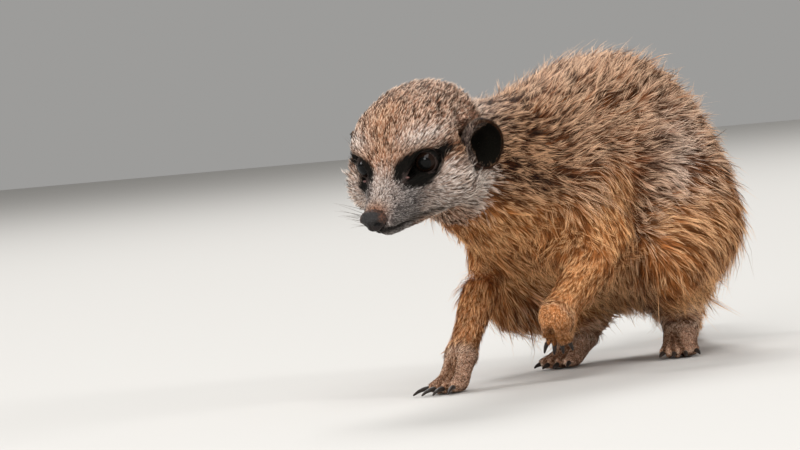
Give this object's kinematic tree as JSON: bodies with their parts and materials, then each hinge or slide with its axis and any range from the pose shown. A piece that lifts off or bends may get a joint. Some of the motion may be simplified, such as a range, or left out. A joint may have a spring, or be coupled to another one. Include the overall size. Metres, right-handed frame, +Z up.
{
  "type": "still animal model",
  "caption": "Life-size still model of an adult meerkat in mid-step: low crouch, arched back, near forepaw lifted and folded, long tapering tail laid on the floor.",
  "frame": {"origin": "on the floor, under the middle of the animal's bounding box", "axes": "+Z up, -X the way the animal looks, -Y its left side"},
  "size_m": [0.3676, 0.1364, 0.1368],
  "materials": {
    "body_coat": "shaggy brown, buff and cream fur with darker bands",
    "face_coat": "short pale grey-cream fur, rufous on the forehead, black round the eyes",
    "paw_coat": "short flat grey-buff fur",
    "tail_tip_coat": "dark brown to black short fur",
    "ear": "black, thinly haired skin",
    "nose": "dark, damp, finely pebbled skin",
    "eye": "very dark brown eye with a clear wet cornea",
    "claw": "smooth dark horn"
  },
  "bodies": {
    "root": {"head": "face_coat", "nose": "nose", "left_eye": "eye", "right_eye": "eye", "left_ear": "ear", "right_ear": "ear", "neck": "body_coat", "trunk": "body_coat", "tail_base": "body_coat", "tail_tip": "tail_tip_coat", "left_fore_upper_arm": "body_coat", "left_fore_forearm": "ear", "left_fore_paw": "paw_coat", "left_fore_claw_1": "claw", "left_fore_claw_2": "claw", "left_fore_claw_3": "claw", "left_fore_claw_4": "claw", "left_hind_thigh": "body_coat", "left_hind_shank": "body_coat", "left_hind_foot": "paw_coat", "left_hind_claw_1": "claw", "left_hind_claw_2": "claw", "left_hind_claw_3": "claw", "left_hind_claw_4": "claw", "right_fore_upper_arm": "body_coat", "right_fore_forearm": "ear", "right_fore_paw": "paw_coat", "right_fore_claw_1": "claw", "right_fore_claw_2": "claw", "right_fore_claw_3": "claw", "right_fore_claw_4": "claw", "right_hind_thigh": "body_coat", "right_hind_shank": "body_coat", "right_hind_foot": "paw_coat", "right_hind_claw_1": "claw", "right_hind_claw_2": "claw", "right_hind_claw_3": "claw", "right_hind_claw_4": "claw"}
  },
  "joints": []
}
